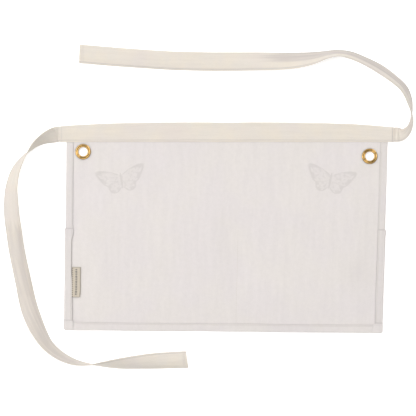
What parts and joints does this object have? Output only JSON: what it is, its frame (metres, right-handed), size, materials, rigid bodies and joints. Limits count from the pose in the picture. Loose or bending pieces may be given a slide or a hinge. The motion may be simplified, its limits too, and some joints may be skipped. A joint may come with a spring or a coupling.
{
  "type": "waist apron",
  "caption": "Short cotton waist apron laid flat with its back up: turned hems, front pocket, folded tape waistband, long ties and brass eyelets.",
  "frame": {"origin": "middle of the waistband, on its front face, which lies on the table", "axes": "+X along the waistband, +Y from the bottom hem towards the waistband, +Z from the front of the apron to its back"},
  "size_m": [0.637, 0.5053, 0.0293],
  "materials": {
    "cotton": "plain weave, matt, soft white",
    "tape": "plain weave tape, matt, natural cream",
    "brass": "polished",
    "label": "woven satin label, beige",
    "thread": "sewing thread, off-white"
  },
  "bodies": {
    "apron": {"body_panel": "cotton", "pocket_panel": "cotton", "waistband": "tape", "eyelet_left": "brass", "eyelet_right": "brass", "washer_left": "brass", "washer_right": "brass", "thread_waistband": "thread", "thread_tie_left": "thread", "thread_tie_right": "thread", "thread_hem_left": "thread", "thread_hem_right": "thread", "thread_hem_bottom": "thread", "thread_pocket_divider": "thread"},
    "tie_left": {"tie_left": "tape"},
    "tie_right": {"tie_right": "tape"},
    "label": {"label": "label"}
  },
  "joints": [
    {"name": "tie_left_fold", "type": "hinge", "parent": "apron", "child": "tie_left", "pos_m": [-0.2615, 0, 0.00165], "axis": [0, 1, 0], "range_deg": [-100, 100]},
    {"name": "tie_right_fold", "type": "hinge", "parent": "apron", "child": "tie_right", "pos_m": [0.2615, 0, 0.00165], "axis": [0, -1, 0], "range_deg": [-100, 100]},
    {"name": "label_flip", "type": "hinge", "parent": "apron", "child": "label", "pos_m": [-0.24148, -0.23347, 0.0045], "axis": [-0.0112, -0.9999, 0], "range_deg": [0, 165]}
  ]
}
